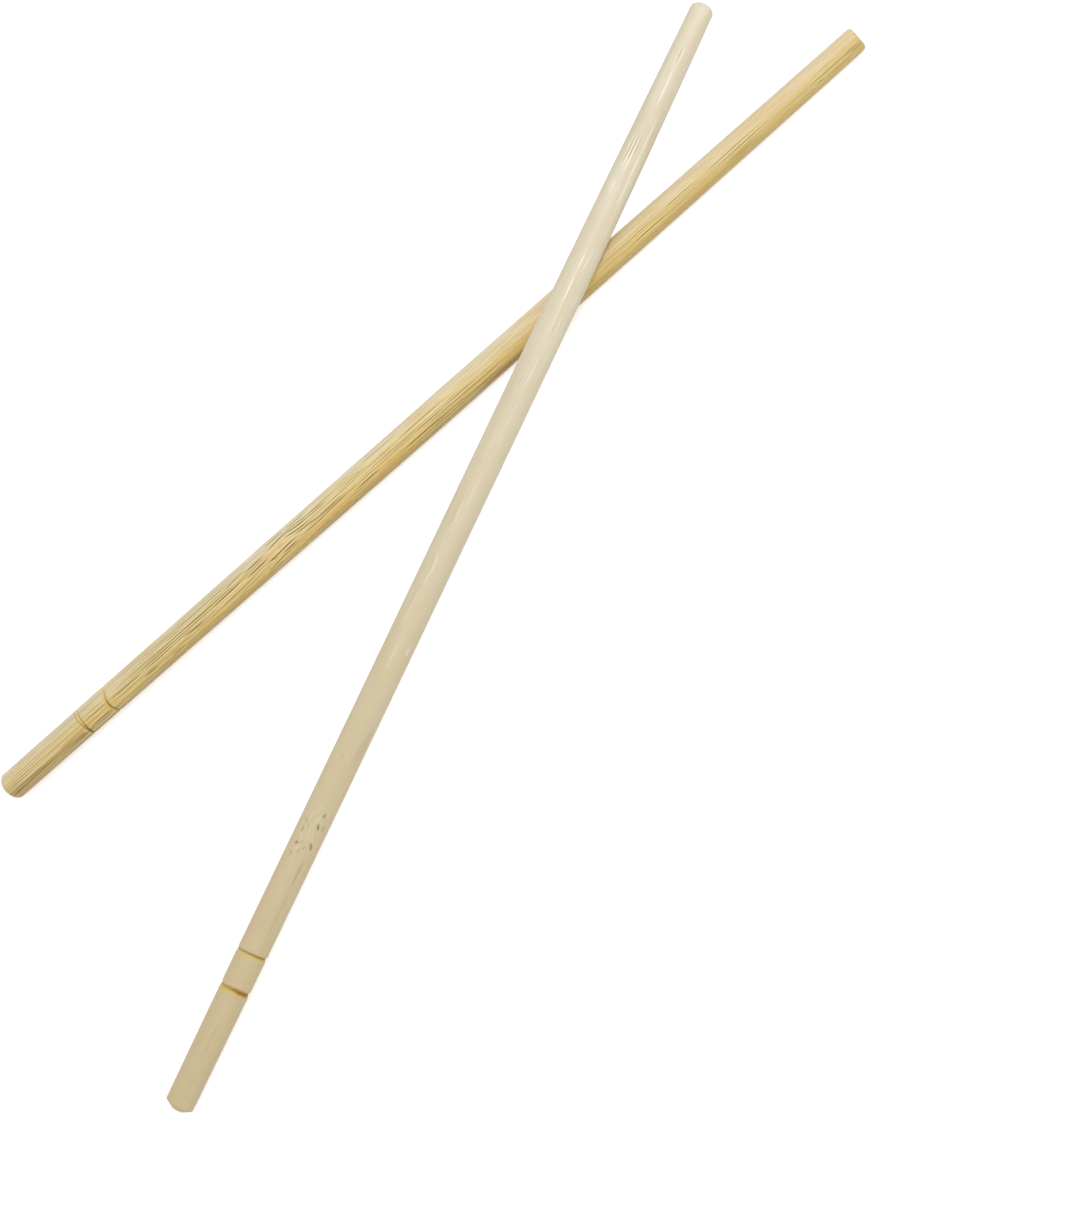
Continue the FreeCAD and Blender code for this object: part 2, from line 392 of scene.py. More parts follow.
# Each is bedded in paler wood, three times as wide. Those near the joint come back on the two far sides,
# turned round the stick and moved a little along it.
joint_fibres = [mark for mark in FIBRES if GOLDEN_JOINT_START < mark[0] * MM < GOLDEN_JOINT_END]
sides = ((FIBRES, 0.0, 0.0), (joint_fibres, 2.1, 1.6 * MM), (joint_fibres, 4.2, -1.2 * MM))
fibres = np.zeros_like(stations)
beds = np.zeros_like(stations)
for marks, turned, moved in sides:
    wider = [(*mark[:3], 3 * mark[3], *mark[4:]) for mark in marks]
    place = (stations + moved, rippled, GOLDEN_FRONT + turned, GOLDEN_RADIUS)
    fibres = np.maximum(fibres, spots(marks, *place))
    beds = np.maximum(beds, spots(wider, *place))

bold_lines = fibre_lines(*golden_skin, golden_sway, seed=21, count=28, reach=6 * MM, half_width=0.11 * MM,
                         boost=0.35)
thin_lines = fibre_lines(*golden_skin, golden_sway, seed=25, count=45, reach=3 * MM, half_width=0.08 * MM,
                         boost=0.1)
dark_lines = np.maximum(bold_lines[0], 0.65 * thin_lines[0])
pale_strips = np.maximum(bold_lines[1], 0.6 * thin_lines[1])
patches = noise_over(*golden_skin, seed=14, reach_along=9 * MM, reach_round=0.9 * MM)
lower_side = smooth_step(-0.75, 0.35, from_front + 0.25 * patches)
towards_tip = smooth_step(100 * MM, 155 * MM, stations)
past_joint = smooth_step(GOLDEN_JOINT + 5 * MM, GOLDEN_JOINT + 17 * MM, stations)
# Lines are strongest low on the stick, and weaker near the tip, at the joint and in the middle past it
line_weight = (0.36 - 0.26 * towards_tip) * (1 - lower_side) + (0.9 - 0.34 * towards_tip) * lower_side
line_weight = line_weight * (0.75 + 0.25 * np.clip(patches, -1, 1)) * (1 - 0.4 * near_joint)
line_weight = line_weight * (1 - 0.55 * past_joint * np.exp(-(from_front / 0.9) ** 4))
dark_lines = np.maximum(dark_lines * line_weight * (1 - 0.85 * np.clip(beds, 0, 1)), fibres)
pale_strips = np.clip(pale_strips * line_weight + 0.8 * beds, 0, 1) * (1 - dark_lines)

ring_wobble = 0.06 * MM * np.sin(3 * from_front + 0.6)
first_shift = 0.54 * MM - 0.17 * MM * np.sin(from_front) + ring_wobble
second_shift = 0.46 * MM - 0.25 * MM * np.sin(from_front) - 2.5 * ring_wobble
first_cut = ring_cut(stations, angles, GOLDEN_RINGS[0], GOLDEN_RING_WIDTH, GOLDEN_RING_DEPTH,
                     heart=GOLDEN_FRONT + math.radians(50), narrowest=0.45, shift=first_shift, edges=[
                         ((0.75, 0.26, 0.6), (0.4, 0.42, 1.15)),
                         ((-1.05, 0.26, 0.5), (-0.15, 0.36, 1.0)),
                     ])
second_cut = ring_cut(stations, angles, GOLDEN_RINGS[1], GOLDEN_RING_WIDTH, GOLDEN_RING_DEPTH,
                      heart=GOLDEN_FRONT + math.radians(25), narrowest=0.3, shift=second_shift, edges=[
                          ((0.4, 0.28, 0.2), (0.3, 0.38, 1.1)),
                          ((-0.7, 0.26, 0.05), (-0.6, 0.28, 0.4)),
                      ])
cuts, cut_bands, cut_edges_and_shade = first_cut + second_cut

# A drying crack runs from the handle end to the first ring
CRACK_HALF_WIDTH = 0.12 * MM
crack_angle = GOLDEN_FRONT + math.radians(36)
crack_wander = 0.012 * np.sin(stations / (3.1 * MM)) + 0.008 * np.sin(stations / (1.3 * MM))
crack = np.exp(-(turn_gap(angles, crack_angle + crack_wander) * GOLDEN_RADIUS / CRACK_HALF_WIDTH) ** 2)
crack = crack * (1 - smooth_step(GOLDEN_RINGS[0] - 0.6 * MM, GOLDEN_RINGS[0], stations))
crack = crack * smooth_step(0.5 * MM, 2.5 * MM, stations)
dark_lines = np.clip(dark_lines + 0.9 * crack, 0, 1)

# Darker brown patches over the skin. The row at 126 mm is painted shade: the pale stick's contact shadow on
# the golden one's lower side, beside the crossing.
STAINS_AND_CONTACT_SHADE = (
    (6.0, 2.80, 8.0, 0.60, 0, 0.30),
    (126.0, 2.85, 11.0, 1.15, 0, 0.75),
    (148.0, 2.20, 8.0, 0.90, 0, 0.30),
    (171.0, 2.40, 30.0, 0.80, 0, 0.20),
    (181.5, 1.80, 7.0, 0.80, 0, 0.40),
    (205.6, 1.30, 2.2, 0.34, 0, 0.45),
    (206.8, 1.95, 1.6, 0.60, 0, 0.60),
)
stains_and_contact_shade = spots(STAINS_AND_CONTACT_SHADE, stations, angles, GOLDEN_FRONT, GOLDEN_RADIUS)

waves = noise_over(*golden_skin, seed=13, reach_along=18 * MM, reach_round=1.3 * MM)
body_share = np.clip(radii / GOLDEN_TIP_RADIUS, 0, 1) ** 4
relief = 0.02 * dark_lines - 0.008 * pale_strips + 0.05 * crack + 0.014 * waves
golden_dents = cuts + body_share * MM * relief

# The tip's slanted side, on the stick's right, is a plane that the outermost points are pulled in to
rightward = np.maximum(np.cos(angles - math.pi), 0)
from_tip = stations - (GOLDEN_LENGTH - GOLDEN_BEVEL_LENGTH)
limit = GOLDEN_TIP_RADIUS - np.maximum(from_tip, 0) * GOLDEN_BEVEL_DEPTH / GOLDEN_BEVEL_LENGTH
golden_dents += (from_tip > 0) * rightward * np.maximum((radii - golden_dents) * rightward - limit, 0)

golden_looks = {
    "grain": grain_of(stations, radii, angles, golden_sway),
    "fibre": np.stack([dark_lines, pale_strips, stains_and_contact_shade], axis=-1),
    "ring": np.stack([cut_bands, cut_edges_and_shade, np.zeros_like(stations)], axis=-1),
}
golden = stick_skin("golden_stick", golden_axes, stations, radii, golden_dents, GOLDEN_BOW, GOLDEN_BOW_SKEW,
                    golden_looks)


def put(tree, kind, settings=None, **sockets):
    """Adds a node. Settings are its properties. Each socket is named with _ for a space, or _0, _1 for a
    number, and is linked where its value is another node's socket, or else set."""
    made = tree.nodes.new(kind)
    for title, value in (settings or {}).items():
        setattr(made, title, value)
    for title, value in sockets.items():
        key = int(title[1:]) if title[1:].isdigit() else title.replace("_", " ")
        if isinstance(value, bpy.types.NodeSocket):
            tree.links.new(value, made.inputs[key])
        else:
            made.inputs[key].default_value = value
    return made


def sums(tree, operation, first, second):
    """Result of a Math node."""
    return put(tree, "ShaderNodeMath", {"operation": operation}, _0=first, _1=second).outputs[0]


def ramp(tree, value, low, high, to_low=0.0, to_high=1.0):
    """Value mapped smoothly from low and high to the two results, and held there beyond them."""
    return put(tree, "ShaderNodeMapRange", {"interpolation_type": "SMOOTHSTEP"}, Value=value,
               From_Min=low, From_Max=high, To_Min=to_low, To_Max=to_high).outputs[0]


def tint(tree, share, under, over):
    """Colour mixed from the one under to the one over, by a share."""
    return put(tree, "ShaderNodeMix", {"data_type": "RGBA"}, _0=share, _6=under, _7=over).outputs[2]


def lay(tree, colour, share, most, over):
    """Colour with another laid over it, by the share times the most."""
    return tint(tree, sums(tree, "MULTIPLY", share, most), colour, over)


def new_group(title, inputs, outputs):
    """Tree of a new node group, with its input node and its output node. The outputs are floats."""
    tree = bpy.data.node_groups.new(title, "ShaderNodeTree")
    for label, kind in inputs:
        tree.interface.new_socket(label, in_out="INPUT", socket_type=kind)
    for label in outputs:
        tree.interface.new_socket(label, in_out="OUTPUT", socket_type="NodeSocketFloat")
    return tree, tree.nodes.new("NodeGroupInput"), tree.nodes.new("NodeGroupOutput")


# Streaks: noise in the wood's own place, drawn out along the stick, so that it shows as lines on the
# sides. The dots are the bundles of fibres, which show round where an end cuts across them.
streaks_group, given, result = new_group(
    "Bamboo streaks",
    [("Grain", "NodeSocketVector"), ("Along", "NodeSocketFloat"), ("Across", "NodeSocketFloat")],
    ["Broad", "Fine", "Dots"])
scale = put(streaks_group, "ShaderNodeCombineXYZ", X=given.outputs["Along"], Y=given.outputs["Across"],
            Z=given.outputs["Across"])
drawn_out = put(streaks_group, "ShaderNodeVectorMath", {"operation": "MULTIPLY"},
                _0=given.outputs["Grain"], _1=scale.outputs[0])
broad = put(streaks_group, "ShaderNodeTexNoise", Vector=drawn_out.outputs[0], Scale=1.0, Detail=2.0,
            Roughness=0.55)
fine = put(streaks_group, "ShaderNodeTexNoise", Vector=drawn_out.outputs[0], Scale=3.3, Detail=3.0,
           Roughness=0.6)
bundles = put(streaks_group, "ShaderNodeTexVoronoi", Vector=drawn_out.outputs[0], Scale=2.4)
dots = ramp(streaks_group, bundles.outputs["Distance"], 0.12, 0.34, 1.0, 0.0)
streaks_group.links.new(broad.outputs["Fac"], result.inputs["Broad"])
streaks_group.links.new(dots, result.inputs["Dots"])
streaks_group.links.new(fine.outputs["Fac"], result.inputs["Fine"])


def streaks(tree, grain, along, across):
    """The streaks group placed in a material, with so many streaks to a metre along and across."""
    placed = put(tree, "ShaderNodeGroup", {"node_tree": streaks_group}, Grain=grain, Along=along,
                 Across=across)
    return placed.outputs


def new_material(title):
    """Material with an empty tree, its tree, and its Principled BSDF."""
    made = bpy.data.materials.new(title)
    made.use_nodes = True
    return made, made.node_tree, made.node_tree.nodes["Principled BSDF"]


def attribute(tree, label):
    """Attribute of the piece as a vector, and its three parts."""
    vector = put(tree, "ShaderNodeAttribute", {"attribute_name": label}).outputs["Vector"]
    return vector, *put(tree, "ShaderNodeSeparateXYZ", Vector=vector).outputs


def end_share(tree, station, length):
    """1 on the two ends of a stick and 0 on its side."""
    return sums(tree, "ADD", ramp(tree, station, 0.2 * MM, 1.4 * MM, 1.0, 0.0),
                ramp(tree, station, length - 0.7 * MM, length - 0.1 * MM))


def side_share(tree, grain, angle, radius):
    """How far a point lies towards one side of the stick, from -1 to 1, as its distance from the axis in
    that direction over the radius."""
    towards = (0.0, math.cos(angle) / radius, math.sin(angle) / radius)
    return put(tree, "ShaderNodeVectorMath", {"operation": "DOT_PRODUCT"}, _0=grain,
               _1=towards).outputs["Value"]


def satin(tree, surface, colour, fine, smoothest, roughest, bump_strength, bump_distance):
    """Finish of sanded bamboo: its colour, a faint sheen, and a roughness and a bump that follow the fine
    streaks."""
    tree.links.new(colour, surface.inputs["Base Color"])
    tree.links.new(ramp(tree, fine, 0.3, 0.7, smoothest, roughest), surface.inputs["Roughness"])
    surface.inputs["Specular IOR Level"].default_value = 0.5
    surface.inputs["Sheen Weight"].default_value = 0.3
    surface.inputs["Sheen Roughness"].default_value = 0.35
    bump = put(tree, "ShaderNodeBump", Strength=bump_strength, Distance=bump_distance, Height=fine)
    tree.links.new(bump.outputs[0], surface.inputs["Normal"])


GOLD = linear("E0BC6A")
STRAW_AND_SHEEN = linear("E6D3A2")
PAINTED_SHEEN_BONE = linear("DFD8C4")
GOLD_PAINTED_SHADE = linear("987A40")
STRAW_AND_SHEEN_TIP = linear("C9B9A4")
GOLD_TIP = linear("AE9F6A")
STREAK_GOLD = linear("C49C46")
PALE_STRIP = linear("F0DC9C")
FIBRE_BROWN = linear("5C4200")
STAIN_AND_SHADE_BROWN = linear("8E6C22")
CUT_TAN = linear("E6C868")
CUT_SHADE_BROWN = linear("6E4C00")

golden_material, tree, surface = new_material("golden bamboo")
grain, station, _, _ = attribute(tree, "grain")
_, dark_line, pale_strip, stain_and_shade = attribute(tree, "fibre")
_, cut_band, cut_edge_and_shade, _ = attribute(tree, "ring")
broad, fine, dots = streaks(tree, grain, 35.0, 900.0)
_, speckle, _ = streaks(tree, grain, 220.0, 2600.0)
side = side_share(tree, grain, GOLDEN_FRONT - math.radians(66), GOLDEN_RADIUS)
# At the tip the upper side also takes a paler straw, partly the wood's tone and partly painted sheen
tip_colour = tint(tree, ramp(tree, side, 0.1, 0.6), GOLD_TIP, STRAW_AND_SHEEN_TIP)
towards_tip = ramp(tree, station, 90 * MM, 190 * MM)
side = sums(tree, "ADD", side, sums(tree, "MULTIPLY", sums(tree, "SUBTRACT", broad, 0.5), 1.2))
# Paler straw on the upper side and greyer bone at its edge: partly the wood's own tone and partly painted
# sheen, as if light from above glanced off it
colour = tint(tree, ramp(tree, side, -0.3, 0.85), GOLD, STRAW_AND_SHEEN)
colour = tint(tree, ramp(tree, side, 0.7, 1.05, 0.0, 0.75), colour, PAINTED_SHEEN_BONE)
# Painted shade: the lower side, which faces the table, is darkened towards brown
shaded_side = side_share(tree, grain, GOLDEN_FRONT + math.radians(80), GOLDEN_RADIUS)
colour = tint(tree, ramp(tree, shaded_side, 0.68, 1.0, 0.0, 0.7), colour, GOLD_PAINTED_SHADE)
colour = lay(tree, colour, towards_tip, 0.44, tip_colour)
streak_share = ramp(tree, towards_tip, 0.0, 1.0, 0.45, 0.3)
colour = tint(tree, ramp(tree, fine, 0.4, 0.65, 0.0, streak_share), colour, STREAK_GOLD)
colour = tint(tree, ramp(tree, speckle, 0.5, 0.7, 0.0, streak_share), colour, PALE_STRIP)
colour = lay(tree, colour, pale_strip, 0.9, PALE_STRIP)
colour = tint(tree, dark_line, colour, FIBRE_BROWN)
dot_share = sums(tree, "MULTIPLY", dots, end_share(tree, station, GOLDEN_LENGTH))
colour = lay(tree, colour, dot_share, 0.6, FIBRE_BROWN)
# Brown patches, with the painted contact shadow of the pale stick among them
colour = tint(tree, stain_and_shade, colour, STAIN_AND_SHADE_BROWN)
colour = lay(tree, colour, cut_band, 0.75, CUT_TAN)
# Dark edges of the rings: painted shade of the groove's walls, strongest where the cut is deepest
colour = tint(tree, cut_edge_and_shade, colour, CUT_SHADE_BROWN)
satin(tree, surface, colour, fine, 0.46, 0.62, 0.35, 0.05 * MM)
golden.data.materials.append(golden_material)
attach(golden, "root")
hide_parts("golden_chopstick")

# Pale chopstick
# A round stick of cream bamboo from nearer the inside of the stem, where the fibres hardly show. It is
# turned like the golden one, but its rings were rubbed in hot, so they are wider and scorched. It leans
# over the golden stick with its handle end on the table.

PALE_LENGTH = 211.0 * MM
PALE_HANDLE_RADIUS = 2.6 * MM
PALE_RADIUS = 2.725 * MM
PALE_TIP_RADIUS = 2.1 * MM
PALE_FLARE_END = 28.0 * MM
PALE_TAPER_START = 132.0 * MM
PALE_TAPER_CROWN = 0.14 * MM
PALE_CHAMFER_LENGTH = 0.9 * MM
PALE_CHAMFER_HEIGHT = 1.4 * MM
PALE_DOME = 1.4 * MM
PALE_RINGS = (22.8 * MM, 29.5 * MM)
PALE_RING_WIDTH = 1.3 * MM
PALE_RING_DEPTHS = (0.2 * MM, 0.18 * MM)
PALE_JOINT_START = 46.0 * MM
PALE_JOINT_END = 60.0 * MM
PALE_BOW = 0.202 * MM
PALE_SAW_SLOPE = 0.07
PALE_FRONT = math.radians(125)

pale_axes = axes_of(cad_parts["pale_chopstick"], (PALE_CHAMFER_LENGTH, PALE_TAPER_START))
pale_taper_end = PALE_LENGTH - PALE_DOME
pale_body = body_rows(PALE_CHAMFER_LENGTH + 0.2 * MM, pale_taper_end, [
    (PALE_RINGS[0] - 1.2 * MM, PALE_RINGS[0] + 1.2 * MM, 0.08 * MM),
    (PALE_RINGS[1] - 1.2 * MM, PALE_RINGS[1] + 1.2 * MM, 0.08 * MM),
    (PALE_JOINT_START, PALE_JOINT_END, 0.2 * MM),
])
taper_share = np.clip((pale_body - PALE_TAPER_START) / (pale_taper_end - PALE_TAPER_START), 0, 1)
pale_body_radii = np.interp(pale_body, (PALE_CHAMFER_LENGTH, PALE_FLARE_END),
                            (PALE_HANDLE_RADIUS, PALE_RADIUS))
pale_body_radii += (PALE_TIP_RADIUS - PALE_RADIUS) * taper_share \
    + 4 * PALE_TAPER_CROWN * taper_share * (1 - taper_share)
pale_end_radius = PALE_HANDLE_RADIUS - PALE_CHAMFER_HEIGHT
sawn_face_radii = np.array([0.1, 0.45, 0.8]) * pale_end_radius
chamfer_share = np.linspace(0, 1, 9)
pale_rows = np.concatenate([
    np.zeros_like(sawn_face_radii),
    PALE_CHAMFER_LENGTH * chamfer_share,
    pale_body,
    pale_taper_end + PALE_DOME * np.sin(dome_turn),
])
pale_radii = np.concatenate([
    sawn_face_radii,
    pale_end_radius + PALE_CHAMFER_HEIGHT * chamfer_share,
    pale_body_radii,
    PALE_TIP_RADIUS * np.cos(dome_turn),
])
stations = np.repeat(pale_rows[:, None], COLUMNS, axis=1)
radii = np.repeat(pale_radii[:, None], COLUMNS, axis=1)
from_front = turn_gap(angles, PALE_FRONT)
pale_skin = (stations, angles, PALE_LENGTH, PALE_RADIUS)
pale_sway = 0.02 * noise_over(*pale_skin, seed=31, reach_along=12 * MM, reach_round=3 * MM)
dark_lines, _ = fibre_lines(*pale_skin, pale_sway, seed=41, count=37, reach=8 * MM, half_width=0.1 * MM,
                            boost=0.0)

ring_wobble = 0.08 * MM * np.sin(3 * from_front + 1.2) + 0.03 * MM * np.sin(11 * from_front)
first_cut = ring_cut(stations, angles, PALE_RINGS[0], PALE_RING_WIDTH, PALE_RING_DEPTHS[0],
                     heart=PALE_FRONT + math.radians(40), narrowest=0.7, shift=0.3 * MM + ring_wobble,
                     edges=[((0.3, 0.35, 0.55), (0.1, 0.6, 1.1))])
second_cut = ring_cut(stations, angles, PALE_RINGS[1], PALE_RING_WIDTH, PALE_RING_DEPTHS[1],
                      heart=PALE_FRONT + math.radians(40), narrowest=0.6,
                      shift=0.28 * MM + 0.7 * ring_wobble, edges=[((0.45, 0.3, 0.6), (0.45, 0.34, 0.9))])
# The second ring is scorched less
cuts, cut_bands, cut_edges_and_shade = first_cut + second_cut * np.array([1, 0.65, 1])[:, None, None]

# Pores where the stem's joint was cut through, their pale rims, streaks of darker fibre, and painted
# highlights: near-white gleams laid in the colour where a lamp would catch the grain, all listed
PORES = (
    (48.8, -1.50, 0.9, 0.28, 10, 0.35),
    (49.7, -0.42, 0.9, 0.26, 15, 0.35),
    (50.6, 0.30, 0.7, 0.26, 10, 0.40),
    (50.9, -1.38, 0.7, 0.40, 40, 0.95),
    (51.2, 1.35, 1.2, 0.38, -20, 0.95),
    (51.4, -0.55, 0.7, 0.28, 15, 0.40),
    (53.5, -1.45, 1.1, 0.28, -5, 0.55),
    (54.2, -0.60, 0.8, 0.24, -20, 0.30),
    (54.8, 1.00, 1.0, 0.42, -22, 1.00),
    (54.8, 2.00, 0.8, 0.30, -5, 0.60),
    (55.1, -1.50, 1.0, 0.26, -25, 0.50),
    (57.0, 1.15, 0.8, 0.40, 10, 0.80),
)
PORE_RIMS = (
    (49.8, -0.90, 2.0, 0.30, 15, 0.7),
    (52.0, -0.85, 2.2, 0.28, -20, 0.8),
    (53.0, 0.80, 2.4, 0.28, -20, 0.6),
    (53.2, 0.00, 2.6, 0.30, -15, 0.7),
    (56.0, 0.40, 2.2, 0.40, 20, 0.8),
    (56.4, -1.00, 1.8, 0.24, -10, 0.6),
    (57.0, -0.50, 2.8, 0.26, 25, 0.7),
    (57.6, 1.60, 1.6, 0.25, -25, 0.7),
)
STREAKS = (
    (13.5, 0.10, 7.0, 0.35, 0.0, 0.15),
    (36.0, -0.20, 5.0, 0.26, 0.0, 0.14),
    (38.5, 1.28, 9.0, 0.32, 0.0, 0.26),
    (46.2, 1.26, 5.2, 0.34, -0.5, 0.48),
    (67.5, -0.50, 1.2, 0.35, 0.0, 0.18),
    (69.5, 1.60, 5.5, 0.16, 0.0, 0.40),
    (70.5, 2.10, 6.0, 0.16, 0.0, 0.45),
    (70.5, 2.45, 6.0, 0.16, 0.0, 0.45),
    (71.0, 2.80, 5.0, 0.16, 0.0, 0.40),
    (97.5, -1.90, 3.4, 0.18, 0.0, 0.22),
    (97.5, -1.30, 4.0, 0.18, 0.0, 0.20),
    (104.0, -1.00, 3.6, 0.20, -8.0, 0.16),
    (114.0, -1.12, 5.0, 0.28, 0.0, 0.22),
    (139.0, -0.85, 1.8, 0.22, 0.0, 0.20),
    (142.0, 0.68, 4.0, 0.20, 4.0, 0.16),
    (150.5, 1.42, 2.4, 0.20, 0.0, 0.20),
    (183.0, -1.15, 4.2, 0.24, 0.0, 0.55),
    (183.2, -0.50, 4.0, 0.24, 0.0, 0.70),
    (183.4, 0.12, 3.4, 0.22, 0.0, 0.50),
    (187.0, 2.00, 6.0, 0.22, 0.0, 0.20),
    (200.8, -0.15, 2.6, 0.24, 0.0, 0.50),
)
PAINTED_GLEAMS = (
    (87.0, -0.22, 5.0, 0.20, 0.0, 0.35),
    (88.5, 2.00, 1.6, 0.40, 0.0, 0.55),
    (96.0, -1.05, 6.0, 0.18, 0.0, 0.35),
    (97.5, -2.20, 3.0, 0.20, 0.0, 0.40),
    (101.6, -0.65, 2.6, 0.22, 0.0, 0.40),
    (104.2, -0.55, 3.4, 0.24, -8.0, 0.45),
    (113.5, -0.60, 4.0, 0.20, 0.0, 0.30),
    (118.0, 0.05, 4.5, 0.18, 0.0, 0.35),
    (141.0, 0.45, 4.4, 0.20, 2.0, 0.60),
    (150.0, 1.18, 3.2, 0.22, 0.0, 0.45),
    (150.5, 0.10, 6.0, 0.30, 0.0, 0.25),
    (155.0, 2.30, 1.6, 0.26, -20.0, 0.45),
    (156.3, -0.08, 5.0, 0.26, -1.0, 0.95),
    (161.6, -0.12, 3.0, 0.24, 0.0, 0.85),
    (161.8, 0.85, 2.6, 0.24, 0.0, 0.50),
    (175.8, -0.95, 2.6, 0.26, 0.0, 0.80),
    (175.8, 1.40, 5.0, 0.40, 0.0, 0.60),
    (176.0, -1.65, 1.8, 0.22, 0.0, 0.45),
    (180.2, 1.35, 4.6, 0.40, 0.0, 0.70),
    (181.8, -0.20, 6.0, 0.24, 0.0, 0.90),
    (182.0, -0.84, 6.0, 0.22, 0.0, 0.95),
    (183.2, -1.45, 3.6, 0.22, 0.0, 0.60),
    (185.6, 1.35, 6.0, 0.40, 0.0, 0.55),
    (194.8, 0.05, 6.6, 0.26, 0.0, 0.85),
    (200.2, -0.45, 3.4, 0.20, 0.0, 0.40),
    (200.6, 0.34, 3.0, 0.22, 0.0, 0.75),
    (208.3, 1.00, 1.2, 0.30, 0.0, 0.35),
)
pores = spots(PORES, stations, angles, PALE_FRONT, PALE_RADIUS)
pore_rims = spots(PORE_RIMS, stations, angles, PALE_FRONT, PALE_RADIUS) * (1 - pores)
dark_streaks = spots(STREAKS, stations, angles, PALE_FRONT, PALE_RADIUS)
painted_gleams = spots(PAINTED_GLEAMS, stations, angles, PALE_FRONT, PALE_RADIUS)

waves = noise_over(*pale_skin, seed=33, reach_along=18 * MM, reach_round=1.6 * MM)
body_share = np.clip(radii / PALE_TIP_RADIUS, 0, 1) ** 4
relief = 0.006 * dark_lines + 0.014 * waves + 0.06 * pores - 0.012 * pore_rims
pale_dents = cuts + body_share * MM * relief

# The handle end is sawn a little askew, and sticks out most on its lower right
askew = (1 - smooth_step(0.0, 3.0 * MM, stations)) * np.cos(from_front - math.radians(75)) * radii
stations = stations - PALE_SAW_SLOPE * askew
pale_looks = {
    "grain": grain_of(stations, radii, angles, pale_sway),
    "fibre": np.stack([dark_lines, dark_streaks, np.zeros_like(stations)], axis=-1),
    "ring": np.stack([cut_bands, cut_edges_and_shade, np.zeros_like(stations)], axis=-1),
    "mark": np.stack([pores, pore_rims, painted_gleams], axis=-1),
}
pale = stick_skin("pale_stick", pale_axes, stations, radii, pale_dents, PALE_BOW, 1.0, pale_looks)

KHAKI = linear("CBB98F")
IVORY_AND_PAINTED_LIGHT = linear("DAD2BC")
MOTTLE_TAN = linear("D0BC90")
STREAK_TAN = linear("C2B08C")
STREAK_CREAM = linear("E4DCC2")
STREAK_BROWN = linear("94794A")
FIBRE_TAN = linear("9C8450")
SCORCH_YELLOW = linear("D2B45A")
SCORCH_AND_SHADE_BROWN = linear("8C6400")
PORE_OLIVE = linear("7A7045")
PORE_CREAM = linear("E2DAB6")
PAINTED_GLEAM = linear("FBF5E2")

pale_material, tree, surface = new_material("pale bamboo")
grain, station, _, _ = attribute(tree, "grain")
_, dark_line, dark_streak, _ = attribute(tree, "fibre")
_, cut_band, cut_edge_and_shade, _ = attribute(tree, "ring")
_, pore, pore_rim, painted_gleam = attribute(tree, "mark")
broad, fine, dots = streaks(tree, grain, 25.0, 700.0)
_, mottle, _ = streaks(tree, grain, 30.0, 120.0)
# Khaki at the handle to ivory at the tip: partly the wood's own tone and partly painted light, the tip made
# paler as the lamp beyond it would light it
colour = tint(tree, ramp(tree, station, 0.0, 200 * MM), KHAKI, IVORY_AND_PAINTED_LIGHT)
colour = tint(tree, ramp(tree, mottle, 0.4, 0.65, 0.0, 0.3), colour, MOTTLE_TAN)
colour = tint(tree, ramp(tree, broad, 0.35, 0.7, 0.0, 0.25), colour, STREAK_TAN)
colour = tint(tree, ramp(tree, fine, 0.6, 0.8, 0.0, 0.3), colour, STREAK_CREAM)
colour = lay(tree, colour, dark_line, 0.08, FIBRE_TAN)
dot_share = sums(tree, "MULTIPLY", dots, end_share(tree, station, PALE_LENGTH))
colour = lay(tree, colour, dot_share, 0.4, FIBRE_TAN)
colour = tint(tree, dark_streak, colour, STREAK_BROWN)
# Painted highlights: near-white gleams laid into the colour along the grain
colour = lay(tree, colour, painted_gleam, 0.85, PAINTED_GLEAM)
colour = lay(tree, colour, pore_rim, 0.45, PORE_CREAM)
colour = tint(tree, pore, colour, PORE_OLIVE)
colour = lay(tree, colour, cut_band, 0.9, SCORCH_YELLOW)
# Dark edges of the rings: scorched brown with painted shade of the groove's walls, strongest where the cut
# is deepest
colour = tint(tree, cut_edge_and_shade, colour, SCORCH_AND_SHADE_BROWN)
satin(tree, surface, colour, fine, 0.54, 0.66, 0.25, 0.04 * MM)
pale.data.materials.append(pale_material)
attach(pale, "root")
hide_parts("pale_chopstick")

# Table
# A white sheet under the pair. Seen straight on or in a reflection it is plain white, and it keeps the
# soft shadow of the sticks.

TABLE_SIZE = 6.0
TABLE_COLOUR = (0.78, 0.78, 0.78, 1.0)
WHITE_LIFT = 0.58


def seen_share(tree):
    """1 for what the camera sees straight on, in a reflection or through glass, and 0 for other rays."""
    path = put(tree, "ShaderNodeLightPath").outputs
    return sums(tree, "MAXIMUM", path["Is Camera Ray"],
                sums(tree, "MAXIMUM", path["Is Glossy Ray"], path["Is Transmission Ray"]))


half = TABLE_SIZE / 2
table_mesh = bpy.data.meshes.new("table")
table_mesh.from_pydata([(-half, -half, 0), (half, -half, 0), (half, half, 0), (-half, half, 0)], [],
                       [(0, 1, 2, 3)])
table = bpy.data.objects.new("table", table_mesh)
bpy.context.scene.collection.objects.link(table)
white, tree, surface = new_material("white table")
surface.inputs["Base Color"].default_value = TABLE_COLOUR
surface.inputs["Roughness"].default_value = 0.9
surface.inputs["Specular IOR Level"].default_value = 0.0
lift = put(tree, "ShaderNodeEmission", Color=(1, 1, 1, 1),
           Strength=sums(tree, "MULTIPLY", seen_share(tree), WHITE_LIFT))
both = put(tree, "ShaderNodeAddShader", _0=surface.outputs[0], _1=lift.outputs[0])
tree.links.new(both.outputs[0], tree.nodes["Material Output"].inputs["Surface"])
table_mesh.materials.append(white)

# Light
# Plain studio light: an even white dome, and one large soft lamp beyond the tips, which makes them a
# little brighter than the handles.

DOME_STRENGTH = 0.745
LAMP_WATTS = 0.66
LAMP_SIZE = 0.16
LAMP_TURN = math.radians(-20)
LAMP_HEIGHT = math.radians(55)
LAMP_DISTANCE = 0.42


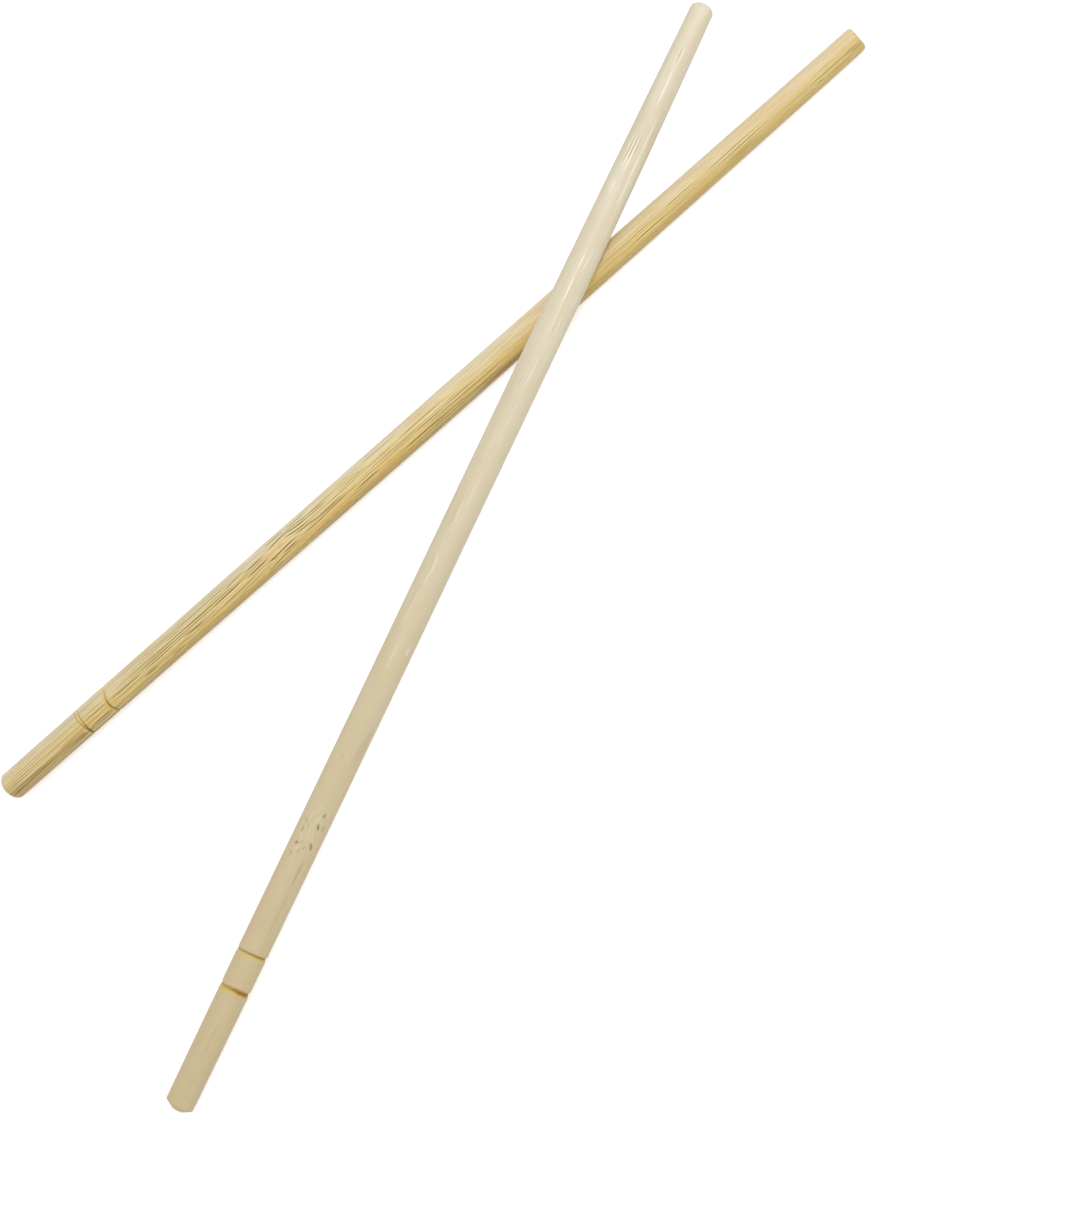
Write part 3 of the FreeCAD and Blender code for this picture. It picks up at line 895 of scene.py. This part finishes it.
def way(turn, height):
    """Unit direction that is turned so far from +X, seen from above, and lifted so far above level."""
    return Vector((math.cos(height) * math.cos(turn), math.cos(height) * math.sin(turn), math.sin(height)))


world = bpy.data.worlds.new("dome")
world.use_nodes = True
tree = world.node_tree
background = tree.nodes["Background"]
strength = ramp(tree, seen_share(tree), 0.0, 1.0, DOME_STRENGTH, 1.0)
tree.links.new(strength, background.inputs["Strength"])
background.inputs["Color"].default_value = (1, 1, 1, 1)
bpy.context.scene.world = world

lamp_data = bpy.data.lights.new("lamp", "AREA")
lamp_data.energy = LAMP_WATTS
lamp_data.size = LAMP_SIZE
lamp = bpy.data.objects.new("lamp", lamp_data)
lamp_way = way(LAMP_TURN, LAMP_HEIGHT)
lamp.matrix_world = Matrix.Translation(lamp_way * LAMP_DISTANCE) \
    @ lamp_way.to_track_quat("Z", "Y").to_matrix().to_4x4()
bpy.context.scene.collection.objects.link(lamp)

# Camera
# It looks down on the pair from beside it, and is rolled so that both sticks run up to the right. Its
# focal length is counted in pixels of the picture's long side.

CAMERA_TARGET = Vector((0.00245, -0.01805, 0.0))
CAMERA_DISTANCE = 0.40723
CAMERA_TURN = math.radians(-64.071)
CAMERA_HEIGHT = math.radians(55.501)
CAMERA_ROLL = math.radians(-62.192)
LONG_SIDE_PIXELS = 1232
FOCAL_PIXELS = 2400

camera_data = bpy.data.cameras.new("camera")
camera_data.lens = camera_data.sensor_width * FOCAL_PIXELS / LONG_SIDE_PIXELS
camera = bpy.data.objects.new("camera", camera_data)
back = way(CAMERA_TURN, CAMERA_HEIGHT)
level_right = Vector((0, 0, 1)).cross(back).normalized()
level_up = back.cross(level_right)
right = math.cos(CAMERA_ROLL) * level_right + math.sin(CAMERA_ROLL) * level_up
up = back.cross(right)
camera.matrix_world = Matrix.Translation(CAMERA_TARGET + CAMERA_DISTANCE * back) \
    @ Matrix((right, up, back)).transposed().to_4x4()
bpy.context.scene.collection.objects.link(camera)
bpy.context.scene.camera = camera
bpy.context.scene.view_settings.view_transform = "Standard"
